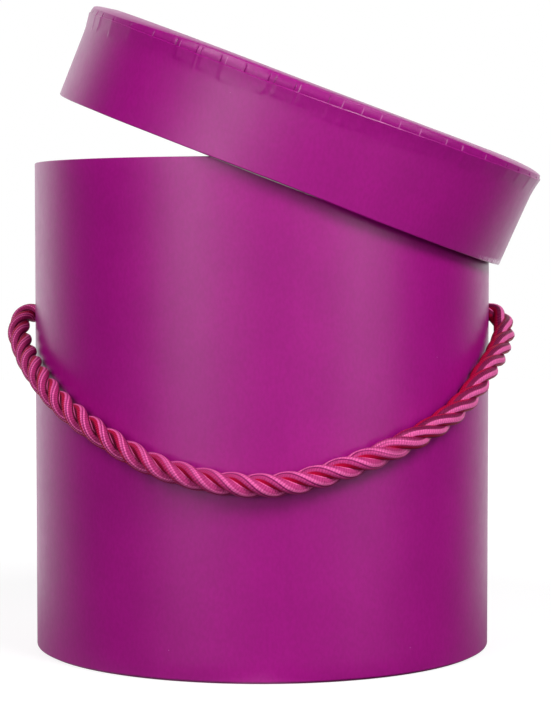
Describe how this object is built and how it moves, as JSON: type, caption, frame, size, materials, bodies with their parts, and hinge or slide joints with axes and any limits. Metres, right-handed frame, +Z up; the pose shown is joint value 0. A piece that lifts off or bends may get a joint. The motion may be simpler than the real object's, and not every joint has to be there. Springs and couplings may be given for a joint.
{
  "type": "round gift box",
  "caption": "Round paper-covered hat box for flowers, with a lift-off lid standing ajar and a twisted cord handle that hangs across the front.",
  "frame": {"origin": "centre of the base on the floor", "axes": "+Z up along the box's axis; the cord hangs at the front, -Y; the cord's holes are at -X and +X, and the lid leans down towards +X"},
  "size_m": [0.1866, 0.1697, 0.227],
  "materials": {
    "magenta_paper": "satin magenta cover paper",
    "lining_paper": "plain off-white lining paper",
    "grey_board": "grey board, wound or cut",
    "satin_cord": "twisted satin cord, pink and crimson"
  },
  "bodies": {
    "box": {"body_tube": "grey_board", "body_wrap": "magenta_paper", "body_lining": "lining_paper", "base_disc": "grey_board", "base_cover": "magenta_paper", "base_liner": "lining_paper"},
    "lid": {"lid_wall": "grey_board", "lid_disc": "grey_board", "lid_top_cover": "magenta_paper", "lid_side_wrap": "magenta_paper", "lid_lining": "lining_paper", "lid_disc_liner": "lining_paper"},
    "handle": {"rope_handle": "satin_cord", "left_knot": "satin_cord", "right_knot": "satin_cord"}
  },
  "joints": [
    {"name": "lid_lift", "type": "slide", "parent": "box", "child": "lid", "axis": [0, 0, 1], "range_m": [0, 0.08]},
    {"name": "handle_swing", "type": "hinge", "parent": "box", "child": "handle", "pos_m": [0, 0, 0.1175], "axis": [-1, 0, 0], "range_deg": [0, 45]}
  ]
}
